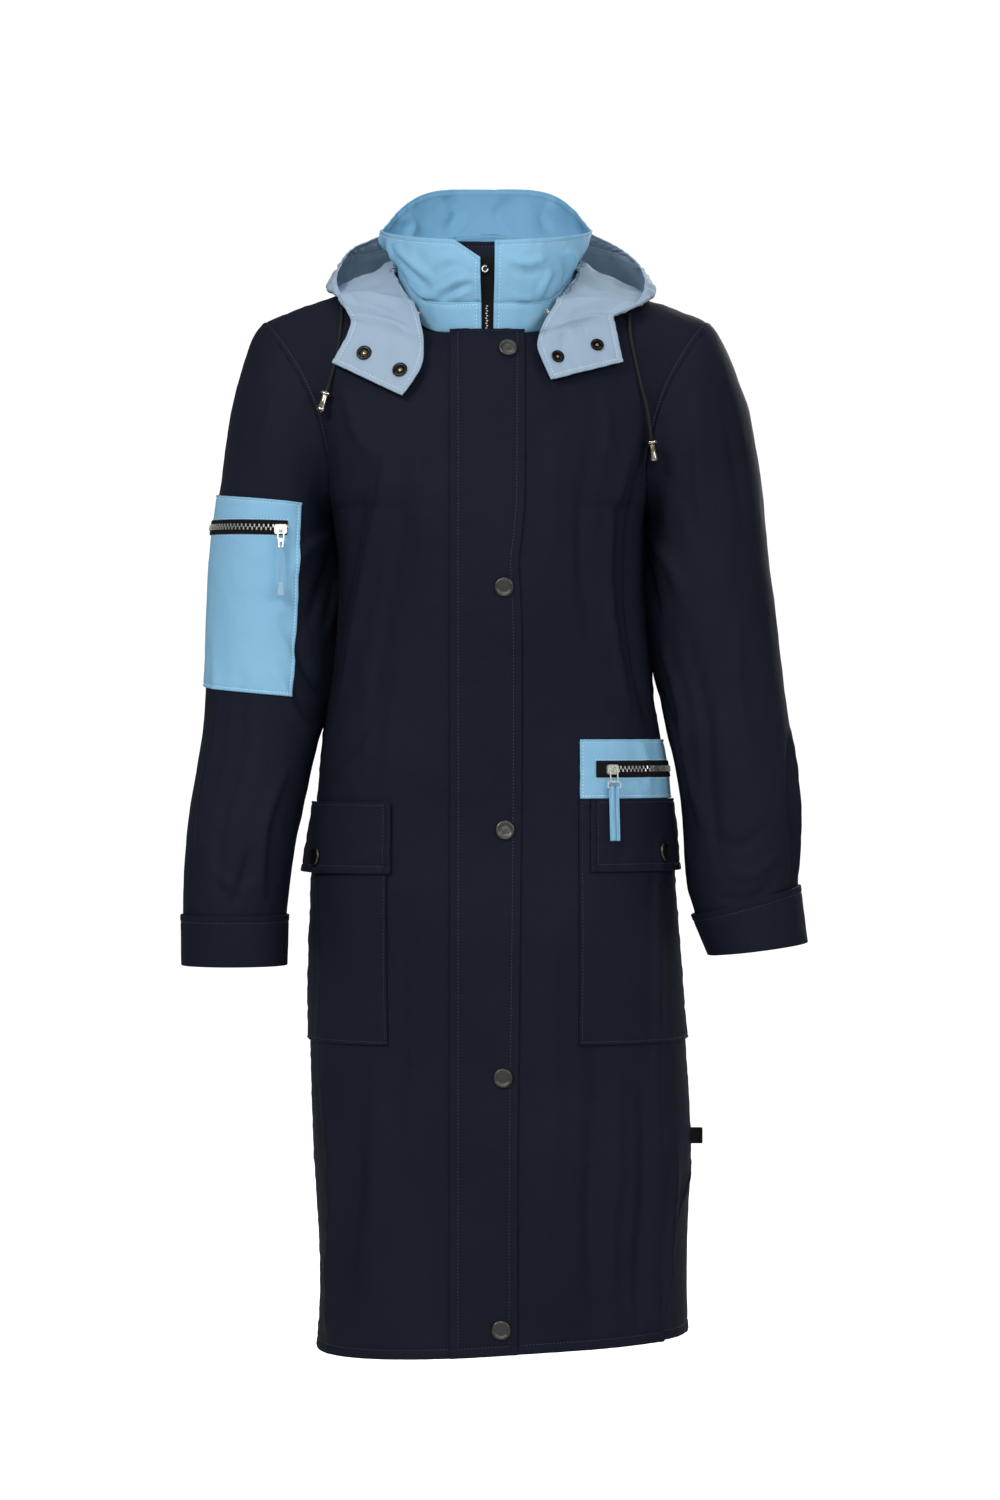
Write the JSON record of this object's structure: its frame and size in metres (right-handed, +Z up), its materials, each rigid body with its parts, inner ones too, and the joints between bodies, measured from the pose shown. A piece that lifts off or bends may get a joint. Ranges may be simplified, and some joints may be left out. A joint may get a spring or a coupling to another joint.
{
  "type": "hooded raincoat",
  "caption": "Knee-length raincoat standing open as worn: zip under a snapped placket, stand collar, hood folded back with tabs, flap pockets, zipped patches, turned cuffs",
  "frame": {"origin": "between the two shoulder points of the neck, where the wearer's shoulders carry the coat", "axes": "+Z up, the coat faces -Y, the wearer's left is at +X"},
  "size_m": [0.6221, 0.3263, 1.1681],
  "materials": {
    "navy_cloth": "coated matt navy cloth",
    "blue_cloth": "coated light blue cloth",
    "hood_cloth": "soft pale grey-blue cloth",
    "gunmetal": "dark plated metal, satin",
    "bright_metal": "bright plated metal",
    "black_cord": "black woven tape and braided cord"
  },
  "bodies": {
    "coat": {"back": "navy_cloth", "front_right": "navy_cloth", "front_left": "navy_cloth", "sleeve_right": "navy_cloth", "sleeve_left": "navy_cloth", "cuff_right": "navy_cloth", "cuff_left": "navy_cloth", "placket": "navy_cloth", "main_zip_tape": "black_cord", "main_zip_slider": "gunmetal", "collar_stand": "blue_cloth", "collar": "blue_cloth", "wind_flap": "navy_cloth", "hood_right": "hood_cloth", "hood_left": "hood_cloth", "hood_middle": "hood_cloth", "placket_snap_1": "gunmetal", "placket_snap_2": "gunmetal", "placket_snap_3": "gunmetal", "placket_snap_4": "gunmetal", "placket_snap_5": "gunmetal", "hood_socket_right_1": "gunmetal", "hood_socket_right_2": "gunmetal", "hood_socket_left_1": "gunmetal", "hood_socket_left_2": "gunmetal", "collar_stud_right": "gunmetal", "collar_stud_left": "gunmetal", "flap_snap_right": "gunmetal", "flap_snap_left": "gunmetal", "pocket_right": "navy_cloth", "pocket_left": "navy_cloth", "flap_right": "navy_cloth", "flap_left": "navy_cloth", "sleeve_patch": "blue_cloth", "sleeve_zip_tape": "black_cord", "sleeve_zip_slider": "gunmetal", "waist_patch": "blue_cloth", "waist_zip_tape": "black_cord", "waist_zip_slider": "gunmetal", "drawcord_right": "black_cord", "drawcord_left": "black_cord", "cord_end_right": "gunmetal", "cord_end_left": "gunmetal", "side_label": "black_cord"},
    "waist_pull": {"waist_zip_pull": "bright_metal", "waist_zip_ribbon": "blue_cloth"},
    "sleeve_pull": {"sleeve_zip_pull": "bright_metal", "sleeve_zip_tab": "hood_cloth"}
  },
  "joints": [
    {"name": "waist_pull_swing", "type": "hinge", "parent": "coat", "child": "waist_pull", "pos_m": [0.12408, -0.09946, -0.5031], "axis": [-0.8973, -0.4415, 0], "range_deg": [0, 150]},
    {"name": "sleeve_pull_swing", "type": "hinge", "parent": "coat", "child": "sleeve_pull", "pos_m": [-0.20219, -0.07423, -0.26705], "axis": [-0.9899, -0.1416, 0], "range_deg": [0, 150]}
  ]
}
